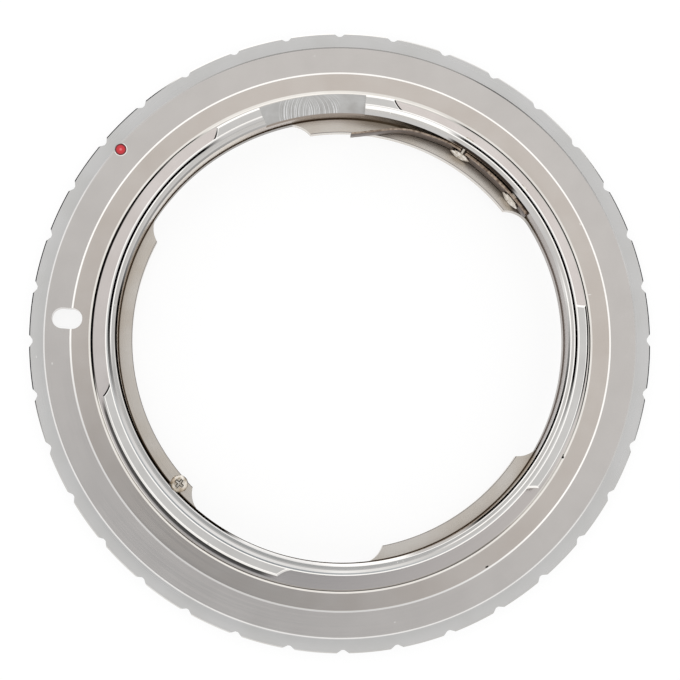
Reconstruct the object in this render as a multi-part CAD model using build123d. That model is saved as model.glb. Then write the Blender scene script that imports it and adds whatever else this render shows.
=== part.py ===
from build123d import *
import math
import os

# Lens mount adapter: a thin ring that lets a lens of one bayonet mount sit on a camera of another.
# Millimetres. The optical axis is Z, the lens seat lies on z = 0, and +Z points to the camera.
# Angles are degrees, counter-clockwise from +X as the camera sees the ring.

# Radial build-up of the ring, from the bore outwards
bore_diameter = 49.0
wall_thickness = 1.3        # camera bayonet wall
lug_reach = 1.0             # camera lugs stand out from the wall
groove_room = 0.95          # groove left outside the lugs
seat_width = 1.87           # raised camera seat
face_width = 3.08           # flange face round the seat
grip_width = 1.55           # notched grip band
tab_reach = 1.55            # lens tabs stand in from the bore
throat_reach = 0.12         # throat ring between the tabs stands in from the bore
mouth_room = 0.2            # mouth on the lens side outside the bore

# Height build-up of the ring, from the lens seat upwards
register = 2.0              # lens seat to camera seat
face_step = 0.2             # flange face below the seat
grip_step = 0.15            # grip band below the flange face
groove_depth = 0.3          # groove floor below the seat
lug_gap = 2.4               # camera seat to the underside of the lugs
lug_thickness = 1.35
ledge_rise = 0.1            # ledge round the wall, above the lugs
wall_rise = 0.85            # top of the wall above the lugs
tab_recess = 1.4            # lens tabs above the lens seat
tab_thickness = 1.5

# Edge breaks
rim_chamfer = 0.17
wall_chamfer = 0.25
lug_chamfer = 0.15
ledge_chamfer = 0.08
lip_setback = 0.28          # lip of the wall inside its outer face
lip_chamfer = 0.22          # top edge of the lip
seat_bevel = 0.2            # both edges of the camera seat, twice as wide as deep
lead_in = 0.3               # edge of the mouth on the lens side

# Bayonet sectors: root start, free corner start, free corner end, root end
camera_lugs = [
    (320.5, 322.5, 367.8, 368.3),
    (75.2, 77.7, 121.1, 123.4),
    (191.2, 193.9, 254.6, 257.4),
]
lens_tabs = [
    (147.5, 152.2, 224.8, 229.4),
    (277.2, 281.2, 326.3, 330.3),
    (32.2, 38.8, 98.6, 103.2),
]
cutter_radius = 3.0         # end mill that left the hollow ends of the lugs and tabs

# Flat milled across the top lug
flat_start = 84.6
flat_end = 110.1
flat_depth = 0.5            # below the top of the lugs

# Grip notches
notch_count = 36
notch_phase = 0.3
notch_width = 1.4           # at the rim
notch_floor = 0.3
notch_depth = 0.38

# Slot for the camera's lock pin, across the edge of the seat
slot_angle = 175.6
slot_length = 3.35          # along the radius
slot_width = 2.3
slot_shift = 0.58           # slot centre outside the seat's edge

# Red index dot, across the edge of the flange face
dot_angle = 139.2
dot_diameter = 1.3
dot_depth = 0.3
dot_crown = 0.1
dot_inset = 0.5             # dot centre inside the face's edge

# Keeper strip and leaf spring on the inside of the wall
strip_drop = 0.9            # strips below the top of the wall
strip_lift = 0.3            # strips above the lens tabs
strip_corner = 0.5
keeper_start = 34.0
keeper_end = 56.9
keeper_thickness = 0.3
keeper_bow = 0.1            # keeper stands off the wall at mid-length
leaf_start = 57.7
leaf_thickness = 0.2
leaf_foot = 2.8             # degrees of the foot against the wall
leaf_lift_radius = 8.0      # first bend, which lifts the leaf off the wall
leaf_lift_angle = 7.0
leaf_run = 7.0              # degrees of the curved run between the bends
leaf_bend_radius = 9.0      # second bend, towards the lens
leaf_bend_angle = 22.0
leaf_tip_length = 4.0       # straight end of the leaf
strip_gap = 0.05            # between a strip and the wall

# Screws that hold the strips, heads inside the bore
screw_angles = (39.8, 57.5)
screw_diameter = 1.4
screw_head_diameter = 2.4
screw_head_height = 0.4
screw_tip = 0.3             # tip past the outside of the wall

# Stop screw on the largest lens tab
stop_angle = 221.7
stop_diameter = 1.0
stop_head_diameter = 1.9
stop_head_height = 0.6
stop_edge = 0.8             # screw axis to the tab's inner edge

# Form of the screws, as shares of the shank's radius and of the head
point_share = 0.33         # chamfer at the end of the shank
edge_share = 0.33          # straight edge of the head under its crown
recess_span = 0.62
recess_width = 0.16
recess_sink = 0.6

thread_clearance = 0.02
head_clearance = 0.1
seat_clearance = 0.02

# Derived radii
bore_r = bore_diameter / 2
wall_r = bore_r + wall_thickness
lip_r = wall_r - lip_setback
lug_r = wall_r + lug_reach
seat_inner_r = lug_r + groove_room
seat_outer_r = seat_inner_r + seat_width
face_r = seat_outer_r + face_width
rim_r = face_r + grip_width
tab_r = bore_r - tab_reach
throat_r = bore_r - throat_reach
mouth_r = bore_r + mouth_room
stop_r = tab_r + stop_edge
slot_r = seat_outer_r + slot_shift
dot_r = face_r - dot_inset

# Derived heights
seat_z = register
face_z = seat_z - face_step
grip_z = face_z - grip_step
groove_z = seat_z - groove_depth
lug_bottom_z = seat_z + lug_gap
lug_top_z = lug_bottom_z + lug_thickness
ledge_z = lug_top_z + ledge_rise
wall_top_z = lug_top_z + wall_rise
tab_top_z = tab_recess + tab_thickness
strip_top_z = wall_top_z - strip_drop
strip_bottom_z = tab_top_z + strip_lift
strip_height = strip_top_z - strip_bottom_z
strip_mid_z = strip_bottom_z + strip_height / 2


def at(radius, angle):
    """Point in the plane of the ring."""
    return Vector(radius * math.cos(math.radians(angle)), radius * math.sin(math.radians(angle)))


def axis_distance(edge):
    """Distance of an edge's middle from the optical axis."""
    middle = edge @ 0.5
    return math.hypot(middle.X, middle.Y)


def radial_axis(radius, angle, z):
    """Frame on the bore side of the wall whose Z axis points at the optical axis."""
    spot = at(radius, angle)
    return Plane(origin=(spot.X, spot.Y, z), x_dir=(0, 0, 1), z_dir=(-spot.X, -spot.Y, 0))


def sector(inner, outer, start, end):
    """Flat ring sector between two radii and two angles."""
    middle = (start + end) / 2
    rim = ThreePointArc(at(outer, start), at(outer, middle), at(outer, end))
    hub = ThreePointArc(at(inner, end), at(inner, middle), at(inner, start))
    sides = [Line(rim @ 1, hub @ 0), Line(hub @ 1, rim @ 0)]
    return make_face([rim, sides[0], hub, sides[1]])


def milled_sector(root_r, free_r, corners):
    """Flat bayonet sector on a root circle, with ends hollowed by the milling cutter."""
    root_start, free_start, free_end, root_end = corners
    side = 1 if free_r > root_r else -1
    foot_r = root_r - side * wall_thickness / 2
    free_arc = ThreePointArc(
        at(free_r, free_start), at(free_r, (free_start + free_end) / 2), at(free_r, free_end)
    )
    last_end = RadiusArc(at(free_r, free_end), at(root_r, root_end), side * cutter_radius)
    first_end = RadiusArc(at(root_r, root_start), at(free_r, free_start), side * cutter_radius)
    last_foot = Line(at(root_r, root_end), at(foot_r, root_end))
    first_foot = Line(at(foot_r, root_start), at(root_r, root_start))
    foot_arc = ThreePointArc(
        at(foot_r, root_end), at(foot_r, (root_start + root_end) / 2), at(foot_r, root_start)
    )
    return make_face([free_arc, last_end, last_foot, foot_arc, first_foot, first_end])


def turned_ring():
    """The ring as it leaves the lathe: flange, steps, groove and bayonet wall."""
    section = Polyline(
        (mouth_r + lead_in, 0),
        (rim_r - rim_chamfer, 0),
        (rim_r, rim_chamfer),
        (rim_r, grip_z - rim_chamfer),
        (rim_r - rim_chamfer, grip_z),
        (face_r, grip_z),
        (face_r - grip_step, face_z),
        (seat_outer_r + seat_bevel, face_z),
        (seat_outer_r + seat_bevel, seat_z - seat_bevel / 2),
        (seat_outer_r, seat_z),
        (seat_inner_r, seat_z),
        (seat_inner_r - seat_bevel, seat_z - seat_bevel / 2),
        (seat_inner_r - seat_bevel / 2 - groove_depth, groove_z),
        (wall_r, groove_z),
        (wall_r, ledge_z - ledge_chamfer),
        (wall_r - ledge_chamfer, ledge_z),
        (lip_r, ledge_z),
        (lip_r, wall_top_z - lip_chamfer),
        (lip_r - lip_chamfer, wall_top_z),
        (bore_r + wall_chamfer, wall_top_z),
        (bore_r, wall_top_z - wall_chamfer),
        (bore_r, tab_top_z),
        (throat_r, tab_top_z),
        (throat_r, tab_recess),
        (mouth_r, tab_recess),
        (mouth_r, lead_in),
        close=True,
    )
    return revolve(Plane.XZ * make_face(section), Axis.Z)


def camera_lug(corners):
    """One lug of the camera bayonet, with its outer top edge broken."""
    blank = extrude(Pos(0, 0, lug_bottom_z) * milled_sector(wall_r, lug_r, corners), lug_thickness)
    top_edges = blank.edges().group_by(Axis.Z)[-1]
    return chamfer(max(top_edges, key=axis_distance), lug_chamfer)


def lens_tab(corners):
    """One tab of the lens bayonet."""
    return extrude(Pos(0, 0, tab_recess) * milled_sector(throat_r, tab_r, corners), tab_thickness)


def chip_flat():
    """Cutter path of the flat milled across the top lug and the wall."""
    floor_z = lug_top_z - flat_depth
    path = sector(tab_r, seat_inner_r, flat_start, flat_end)
    return extrude(Pos(0, 0, floor_z) * path, wall_top_z)


def grip_notches():
    """Shallow V notches cut along the rim, by a cutter that reaches as far past the rim as into it."""
    reach = notch_depth
    flank = (notch_width - notch_floor) / 2
    half_top = notch_width / 2 + flank
    profile = Polyline(
        (rim_r - notch_depth, -notch_floor / 2),
        (rim_r + reach, -half_top),
        (rim_r + reach, half_top),
        (rim_r - notch_depth, notch_floor / 2),
        close=True,
    )
    notch = extrude(make_face(profile), register, both=True)
    pitch = 360 / notch_count
    return [Rot(0, 0, notch_phase + index * pitch) * notch for index in range(notch_count)]


def lock_slot():
    """Slot for the lock pin, right through the flange."""
    outline = Pos(slot_r, 0) * SlotOverall(slot_length, slot_width)
    return Rot(0, 0, slot_angle) * extrude(outline, wall_top_z, both=True)


def dot_pocket():
    """Drilled pocket for the index dot."""
    spot = at(dot_r, dot_angle)
    pocket = Cylinder(dot_diameter / 2, register, align=(Align.CENTER, Align.CENTER, Align.MIN))
    return Pos(spot.X, spot.Y, grip_z - dot_depth) * pocket


def index_dot():
    """Red enamel that fills the pocket, slightly crowned."""
    radius = dot_diameter / 2 - seat_clearance
    top = dot_depth + dot_crown
    base = Polyline((0, top), (0, 0), (radius, 0), (radius, dot_depth))
    crown = RadiusArc((radius, dot_depth), (0, top), -(radius**2 + dot_crown**2) / (2 * dot_crown))
    spot = at(dot_r, dot_angle)
    drop = revolve(Plane.XZ * make_face([*base.edges(), crown]), Axis.Z)
    return Pos(spot.X, spot.Y, grip_z - dot_depth) * drop


def screw(diameter, length, head_diameter, head_height):
    """Round-head screw with a cross recess; the head stands on z = 0 and the shank runs down."""
    shank = diameter / 2
    head = head_diameter / 2
    point = shank * point_share
    edge = head_height * edge_share
    outline = Polyline(
        (0, head_height),
        (0, -length),
        (shank - point, -length),
        (shank, point - length),
        (shank, 0),
        (head, 0),
        (head, edge),
    )
    crown_height = head_height - edge
    crown = RadiusArc((head, edge), (0, head_height), -(head**2 + crown_height**2) / (2 * crown_height))
    blank = revolve(Plane.XZ * make_face([*outline.edges(), crown]), Axis.Z)
    sink = head_height * recess_sink
    span = head_diameter * recess_span
    width = head_diameter * recess_width
    arm = Box(span, width, sink, align=(Align.CENTER, Align.CENTER, Align.MIN))
    cross = arm + Rot(0, 0, 90) * arm
    return blank - Pos(0, 0, head_height - sink) * cross


def keeper_radius(angle):
    """Distance from the axis to the keeper's outer face, on an arc that only meets the wall at its ends."""
    ends_r = bore_r - strip_gap
    half = math.radians((keeper_end - keeper_start) / 2)
    turn = math.radians(angle - (keeper_start + keeper_end) / 2)
    sag = ends_r * (1 - math.cos(half)) - keeper_bow
    centre = -(2 * ends_r * keeper_bow - keeper_bow**2) / (2 * sag)
    arc_r = ends_r - keeper_bow - centre
    return centre * math.cos(turn) + math.sqrt(arc_r**2 - (centre * math.sin(turn)) ** 2)


def screw_seat_r(angle):
    """Distance from the axis to the flat underside of a strip screw's head."""
    half_width = math.degrees(screw_head_diameter / 2 / bore_r)
    edges = (angle - half_width, min(angle + half_width, keeper_end))
    faces = [
        (keeper_radius(edge) - keeper_thickness) * math.cos(math.radians(edge - angle)) for edge in edges
    ]
    return min(faces) - seat_clearance


def strip_screw(angle):
    """One screw that holds the strips, driven outwards through the wall."""
    seat_r = screw_seat_r(angle)
    length = wall_r + screw_tip - seat_r
    body = screw(screw_diameter, length, screw_head_diameter, screw_head_height)
    return radial_axis(seat_r, angle, strip_mid_z) * body


def screw_hole(angle, clearance):
    """Round hole along a strip screw's axis."""
    hole_r = screw_diameter / 2 + clearance
    reach = wall_r + screw_tip - tab_r
    hole = Cylinder(hole_r, reach, align=(Align.CENTER, Align.CENTER, Align.MAX))
    return radial_axis(tab_r, angle, strip_mid_z) * hole


def round_corners(strip, thickness, end_angle):
    """Rounds the two corners of a strip's end that lies at an angle round the ring."""
    spot = at(bore_r, end_angle)
    across = strip.edges().filter_by(lambda edge: edge.length < 2 * thickness)
    flat = across.filter_by(lambda edge: abs((edge @ 0).Z - (edge @ 1).Z) < seat_clearance)
    near = flat.sort_by_distance((spot.X, spot.Y, strip_mid_z))[:2]
    return fillet(near, strip_corner)


def keeper_strip():
    """Stiff strip held by both screws, notched round the second one."""
    middle = (keeper_start + keeper_end) / 2
    radii = [keeper_radius(angle) for angle in (keeper_start, middle, keeper_end)]
    outer = ThreePointArc(at(radii[0], keeper_start), at(radii[1], middle), at(radii[2], keeper_end))
    inner = ThreePointArc(
        at(radii[2] - keeper_thickness, keeper_end),
        at(radii[1] - keeper_thickness, middle),
        at(radii[0] - keeper_thickness, keeper_start),
    )
    outline = make_face([outer, Line(outer @ 1, inner @ 0), inner, Line(inner @ 1, outer @ 0)])
    strip = extrude(Pos(0, 0, strip_bottom_z) * outline, strip_height)
    strip = round_corners(strip, keeper_thickness, keeper_start)
    strip = round_corners(strip, keeper_thickness, keeper_end)
    return strip - [screw_hole(angle, head_clearance) for angle in screw_angles]


def leaf_spring():
    """Springy leaf that follows the wall from the second screw, then bends inwards to press on the lens."""
    path_r = bore_r - strip_gap - leaf_thickness / 2
    root = at(path_r, leaf_start)
    along = at(1, leaf_start + 90)
    foot = JernArc(root, along, path_r, leaf_foot)
    lift = JernArc(foot @ 1, foot % 1, leaf_lift_radius, leaf_lift_angle)
    run = JernArc(lift @ 1, lift % 1, path_r, leaf_run)
    bend = JernArc(run @ 1, run % 1, leaf_bend_radius, leaf_bend_angle)
    tip = Line(bend @ 1, (bend @ 1) + (bend % 1) * leaf_tip_length)
    outline = trace([foot, lift, run, bend, tip], leaf_thickness)
    leaf = extrude(Pos(0, 0, strip_bottom_z) * outline, strip_height)
    leaf = round_corners(leaf, leaf_thickness, leaf_start)
    return leaf - screw_hole(screw_angles[1], head_clearance)


def stop_screw():
    """Screw on the largest tab whose head stops the lens at the end of its turn."""
    spot = at(stop_r, stop_angle)
    body = screw(stop_diameter, tab_thickness, stop_head_diameter, stop_head_height)
    return Pos(spot.X, spot.Y, tab_top_z) * body


def stop_pocket():
    """Threaded hole of the stop screw, and the spot face that clears its head beside the wall."""
    spot = at(stop_r, stop_angle)
    up = (Align.CENTER, Align.CENTER, Align.MIN)
    hole = Cylinder(stop_diameter / 2 + thread_clearance, tab_top_z, align=up)
    spot_face = Pos(0, 0, tab_top_z) * Cylinder(stop_head_diameter / 2 + head_clearance, wall_top_z, align=up)
    return Pos(spot.X, spot.Y, 0) * (hole + spot_face)


def body_ring():
    """The whole ring: turned blank, lugs and tabs, then everything milled or drilled into it."""
    ring = turned_ring()
    ring = ring + [camera_lug(corners) for corners in camera_lugs]
    ring = ring + [lens_tab(corners) for corners in lens_tabs]
    cuts = [chip_flat(), lock_slot(), dot_pocket(), stop_pocket()]
    cuts = cuts + [screw_hole(angle, thread_clearance) for angle in screw_angles]
    return ring - cuts - grip_notches()


pieces = {
    "body_ring": body_ring(),
    "keeper_strip": keeper_strip(),
    "leaf_spring": leaf_spring(),
    "strip_screws": Compound([strip_screw(angle) for angle in screw_angles]),
    "stop_screw": stop_screw(),
    "index_dot": index_dot(),
}

os.makedirs("parts", exist_ok=True)
for name, piece in pieces.items():
    export_step(piece, f"parts/{name}.step")
    print(name, round(piece.volume, 3))
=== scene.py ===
# %% [markdown]
# # A lens mount adapter
# The adapter is a thin plated ring that lets a lens of one bayonet sit on a camera of another. Its
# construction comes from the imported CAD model, which is loaded here as a fixed frame. This lesson
# rebuilds every piece with smooth curves and broken edges, then gives each its finish.

# %% Load the frame
import math

import bmesh
import bpy
from mathutils import Matrix, Vector


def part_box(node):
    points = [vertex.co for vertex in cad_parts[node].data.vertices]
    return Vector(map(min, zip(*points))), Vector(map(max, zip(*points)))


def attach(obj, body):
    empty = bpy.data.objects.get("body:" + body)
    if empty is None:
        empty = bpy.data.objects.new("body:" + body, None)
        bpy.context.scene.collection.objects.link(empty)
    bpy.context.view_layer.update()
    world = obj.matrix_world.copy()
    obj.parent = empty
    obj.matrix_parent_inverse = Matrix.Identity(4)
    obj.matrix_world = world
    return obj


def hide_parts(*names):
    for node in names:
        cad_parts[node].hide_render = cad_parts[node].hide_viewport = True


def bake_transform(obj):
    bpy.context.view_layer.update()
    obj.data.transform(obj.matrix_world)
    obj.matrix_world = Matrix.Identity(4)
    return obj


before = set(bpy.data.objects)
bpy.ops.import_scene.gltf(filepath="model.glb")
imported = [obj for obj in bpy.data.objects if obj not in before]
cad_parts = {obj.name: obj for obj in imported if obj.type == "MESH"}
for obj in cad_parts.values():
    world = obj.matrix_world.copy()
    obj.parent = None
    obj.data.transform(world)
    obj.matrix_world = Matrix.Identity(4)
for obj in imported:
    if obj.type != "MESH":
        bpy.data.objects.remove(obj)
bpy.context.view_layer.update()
scene = bpy.context.scene
scene.view_settings.view_transform = "Standard"

# %% [markdown]
# ## The camera
# The ring is seen almost straight down its axis, from a little below and to the left. A camera could
# be aimed by typing angles. Here the eye is placed by a distance, a lean away from the axis and the
# direction of that lean, so each can be tuned against the photograph by itself. The ring sits
# slightly off the middle of the picture, which the shift takes up.

# %% Place the camera
MM = 0.001
PICTURE = 680
SENSOR = 36.0
# The lens in pixels of the picture, the eye's distance in millimetres, its lean and turn in degrees
FOCAL_PIXELS = 2727.9
EYE_DISTANCE = 300.0
EYE_LEAN = 5.533
EYE_TURN = 238.48
# The height on the axis that the eye looks at, and the pixel where that point shows
AIM_HEIGHT = 2.0
AIM_PIXEL = (341.6, 340.3)
NEAREST = 10

lean = math.radians(EYE_LEAN)
turn = math.radians(EYE_TURN)
back = Vector((math.sin(lean) * math.cos(turn), math.sin(lean) * math.sin(turn), math.cos(lean)))
right = Vector((0, 1, 0)).cross(back).normalized()
up = back.cross(right)
eye = Vector((0, 0, AIM_HEIGHT)) + EYE_DISTANCE * back

lens = bpy.data.cameras.new("eye")
lens.sensor_width = SENSOR
lens.lens = FOCAL_PIXELS / PICTURE * SENSOR
lens.shift_x = (PICTURE / 2 - AIM_PIXEL[0]) / PICTURE
lens.shift_y = (AIM_PIXEL[1] - PICTURE / 2) / PICTURE
lens.clip_start = NEAREST * MM
camera = bpy.data.objects.new("eye", lens)
eye_axes = Matrix((right, up, back)).transposed().to_4x4()
camera.matrix_world = Matrix.Translation(eye * MM) @ eye_axes
scene.collection.objects.link(camera)
scene.camera = camera
print("eye", [round(value, 2) for value in eye], "lens", round(lens.lens, 1), "mm")

# %% [markdown]
# ## Drawing with one vertex
# A turned or milled piece starts as an outline. It could be traced as a curve, but a mesh outline can
# be spun and raised at once. A plane whose corners are merged gives a single vertex, and that vertex
# is the pencil: extruding it draws a straight line, and spinning it about a point draws an arc.
# Everything is drawn in millimetres, where Blender's tolerances work well, and brought to metres at
# the end.

# %% Pencil and line
FINE = 0.0005
AXIS = (0, 0, 1)
CENTRE = (0, 0, 0)


def only(piece):
    """Makes a piece the only one selected, so that operators act on it alone."""
    bpy.ops.object.select_all(action="DESELECT")
    piece.select_set(True)
    bpy.context.view_layer.objects.active = piece


def pencil(name, start):
    """A new mesh in edit mode that is one vertex at a point."""
    bpy.ops.object.select_all(action="DESELECT")
    bpy.ops.mesh.primitive_plane_add()
    piece = bpy.context.object
    piece.name = name
    piece.data.name = name
    bpy.ops.object.mode_set(mode="EDIT")
    bpy.ops.mesh.select_mode(type="VERT")
    bpy.ops.mesh.select_all(action="SELECT")
    bpy.ops.mesh.merge(type="CENTER")
    bpy.ops.transform.translate(value=start)
    return piece


def line(start, *points):
    """Draws straight lines from the pencil's place through the points."""
    for point in points:
        step = Vector(point) - Vector(start)
        bpy.ops.mesh.extrude_vertices_move(TRANSFORM_OT_translate={"value": step})
        start = point
    return Vector(start)


# %% Close and spin what is drawn
def outwards():
    """Merges doubled vertices and turns every face outwards."""
    bpy.ops.mesh.select_all(action="SELECT")
    bpy.ops.mesh.remove_doubles(threshold=FINE)
    bpy.ops.mesh.normals_make_consistent(inside=False)


def leave():
    """Goes back to object mode."""
    bpy.ops.object.mode_set(mode="OBJECT")


def fill():
    """Closes the outline and fills it with one face."""
    bpy.ops.mesh.select_all(action="SELECT")
    bpy.ops.mesh.remove_doubles(threshold=FINE)
    bpy.ops.mesh.select_all(action="SELECT")
    bpy.ops.mesh.edge_face_add()


def spin_round(steps):
    """Spins all that is drawn once about the optical axis, as a lathe turns, and closes the solid."""
    bpy.ops.mesh.select_all(action="SELECT")
    bpy.ops.mesh.spin(steps=steps, angle=2 * math.pi, center=CENTRE, axis=AXIS)
    outwards()
    leave()


# %% [markdown]
# ## The turned blank
# On the lathe the ring gets its flange, the raised camera seat, a groove, and a thin wall with a
# stepped lip. It could be stacked from cylinders, but their edges would all be sharp. One section is
# drawn and spun about the optical axis instead, and each bevel is a short line of that section. The
# outer radius and the top of the wall are read from the frame.

# %% Sizes of the ring, in millimetres
top_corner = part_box("body_ring")[1]
RIM = top_corner.x / MM
WALL_TOP = top_corner.z / MM
TAB = 22.95
THROAT = 24.38
BORE = 24.5
MOUTH = 24.7
LIP = 25.52
WALL = 25.8
LUG = 26.8
SEAT_IN = 27.75
SEAT_OUT = 29.62
FACE = 32.7
SEAT_Z = 2.0
FACE_Z = 1.8
GRIP_Z = 1.65
GROOVE_Z = 1.7
LUG_LOW = 4.4
LUG_TOP = 5.75
LEDGE_Z = 5.85
TAB_LOW = 1.4
TAB_TOP = 2.9
print("rim", round(RIM, 3), "wall top", round(WALL_TOP, 3))

# %% Broken edges of the section
MOUTH_EDGE = 0.3
RIM_EDGE = 0.17
GRIP_RISE = 0.02
SEAT_SLOPE = 0.2
GROOVE_WIDTH = 0.4
# The points of an edge in order: how far in from its radius, and how far up from its height
GRIP_CROWN = [(0.0, -0.16), (0.11, -0.07), (0.6, -0.02), (1.1, 0.01)]
FACE_LINE = [(0.0, -0.105), (0.155, 0.0)]
SEAT_OUTER = [(-SEAT_SLOPE, -0.105), (0.0, 0.0)]
SEAT_INNER = [(0.0, 0.0), (0.2, -0.133)]
GROOVE_SIDE = [(0.31, 0.052), (GROOVE_WIDTH, 0.0)]
LEDGE_EDGE = [(0.0, -0.072), (0.12, 0.0)]
LIP_ROUNDING = [(0.0, -0.305), (0.28, -0.075), (0.41, 0.0)]
BORE_ROUNDING = [(-0.32, 0.0), (-0.2, -0.0825), (0.0, -0.274)]


def broken(radius, height, edge):
    """Points of a broken edge at its place in the section."""
    return [(radius - inward, height + upward) for inward, upward in edge]


# %% Draw and spin the section
STEPS = 720
SECTION = [
    (MOUTH + MOUTH_EDGE, 0.0),
    (RIM - RIM_EDGE, 0.0),
    (RIM, RIM_EDGE),
    *broken(RIM, GRIP_Z, GRIP_CROWN),
    (FACE, GRIP_Z + GRIP_RISE),
    *broken(FACE, FACE_Z, FACE_LINE),
    (SEAT_OUT + SEAT_SLOPE, FACE_Z),
    *broken(SEAT_OUT, SEAT_Z, SEAT_OUTER),
    *broken(SEAT_IN, SEAT_Z, SEAT_INNER),
    *broken(SEAT_IN, GROOVE_Z, GROOVE_SIDE),
    (WALL, GROOVE_Z),
    *broken(WALL, LEDGE_Z, LEDGE_EDGE),
    (LIP, LEDGE_Z),
    *broken(LIP, WALL_TOP, LIP_ROUNDING),
    *broken(BORE, WALL_TOP, BORE_ROUNDING),
    (BORE, TAB_TOP),
    (THROAT, TAB_TOP),
    (THROAT, TAB_LOW),
    (MOUTH, TAB_LOW),
    (MOUTH, MOUTH_EDGE),
]
outline = [Vector((radius, 0, height)) for radius, height in SECTION]
ring = pencil("ring", outline[0])
line(*outline)
fill()
bpy.ops.mesh.delete(type="ONLY_FACE")
spin_round(STEPS)
print("blank", len(ring.data.polygons), "faces")

# %% [markdown]
# ## Lugs and tabs
# Three lugs stand out from the wall to hold the camera, and three tabs stand in from the bore to
# hold the lens. A milling cutter has left a hollow at each end, so an end is an arc of the cutter's
# radius whose centre lies off the metal. They could be left standing by cutting a full collar away,
# but adding them to the wall takes fewer cuts. Each sector is drawn flat, raised, broken or rounded
# at its upper edge, and joined to the ring.

# %% Arcs and milled ends
CUTTER = 3.0
HOLLOW_STEP = 0.25


def at(radius, angle, height=0.0):
    """Point at a radius, an angle in degrees and a height, in the ring's frame."""
    around = math.radians(angle)
    return Vector((radius * math.cos(around), radius * math.sin(around), height))


def turn_by(degrees, size=4):
    """Turn about the optical axis, as a matrix of the given size."""
    return Matrix.Rotation(math.radians(degrees), size, "Z")


def arc(start, centre, degrees, steps):
    """Draws an arc from the pencil's place about an upright axis, counter-clockwise if positive."""
    bpy.ops.mesh.spin(steps=steps, angle=-math.radians(degrees), center=centre, axis=AXIS)
    return Vector(centre) + turn_by(degrees, 3) @ (Vector(start) - Vector(centre))


def hollow(start, end, middle):
    """Draws a milled end between two points, hollow towards the metal's middle."""
    half = (end - start) / 2
    steps = round(2 * half.length / HOLLOW_STEP)
    across = Vector((-half.y, half.x, 0)).normalized()
    depth = math.sqrt(CUTTER**2 - half.length**2)
    centres = [start + half + across * depth, start + half - across * depth]
    centre = max(centres, key=lambda point: (point - middle).length)
    swing = (start - centre).to_2d().angle_signed((end - centre).to_2d())
    return arc(start, centre, -math.degrees(swing), steps)


# %% One lug or tab
PER_DEGREE = 2
SECTOR_FOOT = 0.65


def raise_face(height):
    """Pulls the selected face up to make a solid with its faces outwards."""
    bpy.ops.mesh.extrude_region_move(TRANSFORM_OT_translate={"value": (0, 0, height)})
    outwards()


def sector(name, root, free, corners, low, high):
    """One lug or tab: its outline from corner to corner, raised to its thickness."""
    root_start, free_start, free_end, root_end = corners
    foot = root - math.copysign(SECTOR_FOOT, free - root)
    middle = at((root + free) / 2, (free_start + free_end) / 2, low)
    first = at(free, free_start, low)
    centre = (0, 0, low)
    piece = pencil(name, first)
    spot = arc(first, centre, free_end - free_start, round((free_end - free_start) * PER_DEGREE))
    spot = hollow(spot, at(root, root_end, low), middle)
    spot = line(spot, at(foot, root_end, low))
    spot = arc(spot, centre, root_start - root_end, round((root_end - root_start) * PER_DEGREE))
    spot = line(spot, at(root, root_start, low))
    hollow(spot, first, middle)
    fill()
    raise_face(high - low)
    return piece


# %% Edges of the lugs and tabs
CLOSE = 0.01
TAB_EDGE = 0.02
FACES_UP = 0.9
# Each step of the rounding draws the top face in by a width and lifts it
LUG_ROUNDING = [(0.17, 0.14), (0.07, 0.04)]


def break_free_edge(tab):
    """Breaks the upper edge of a tab where it faces the axis."""
    def on_edge(point):
        return abs(point.z - TAB_TOP) < FINE and abs(point.to_2d().length - TAB) < CLOSE

    mesh = bmesh.from_edit_mesh(tab.data)
    bpy.ops.mesh.select_mode(type="EDGE")
    bpy.ops.mesh.select_all(action="DESELECT")
    for edge in mesh.edges:
        edge.select_set(all(on_edge(vertex.co) for vertex in edge.verts))
    mesh.select_flush_mode()
    bmesh.update_edit_mesh(tab.data)
    bpy.ops.mesh.bevel(offset=TAB_EDGE, segments=1, affect="EDGES")
    outwards()
    leave()


def round_top(lug):
    """Rounds the edge of a lug's top face in small steps."""
    mesh = bmesh.from_edit_mesh(lug.data)
    bpy.ops.mesh.select_mode(type="FACE")
    bpy.ops.mesh.select_all(action="DESELECT")
    for face in mesh.faces:
        face.select_set(face.normal.z > FACES_UP)
    bmesh.update_edit_mesh(lug.data)
    for width, lift in LUG_ROUNDING:
        bpy.ops.mesh.inset(thickness=width, depth=lift)
    outwards()
    leave()


# %% Model the bayonets
# Angles in degrees: start of the root, start of the free side, end of the free side, end of the root
CAMERA_LUGS = [
    (320.5, 322.5, 367.8, 368.3),
    (75.2, 77.7, 121.1, 123.4),
    (191.2, 193.9, 254.6, 257.4),
]
LENS_TABS = [
    (147.5, 152.2, 224.8, 229.4),
    (277.2, 281.2, 326.3, 330.3),
    (32.2, 38.8, 98.6, 103.2),
]


def join(pieces):
    """Joins meshes into the first of them."""
    only(pieces[0])
    for piece in pieces:
        piece.select_set(True)
    bpy.ops.object.join()
    return pieces[0]


def combine(piece, tool, operation):
    """Adds a tool's solid to a piece or cuts it out, then deletes the tool."""
    only(piece)
    change = piece.modifiers.new("combine", "BOOLEAN")
    change.operation = operation
    change.object = tool
    change.solver = "EXACT"
    bpy.ops.object.modifier_apply(modifier=change.name)
    bpy.data.objects.remove(tool)


bayonet = []
lug_rise = sum(lift for width, lift in LUG_ROUNDING)
for index, corners in enumerate(CAMERA_LUGS):
    lug = sector(f"lug_{index}", WALL, LUG, corners, LUG_LOW, LUG_TOP - lug_rise)
    round_top(lug)
    bayonet.append(lug)
for index, corners in enumerate(LENS_TABS):
    tab = sector(f"tab_{index}", THROAT, TAB, corners, TAB_LOW, TAB_TOP)
    break_free_edge(tab)
    bayonet.append(tab)
combine(ring, join(bayonet), "UNION")
print("ring with bayonets", len(ring.data.polygons), "faces")

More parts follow.
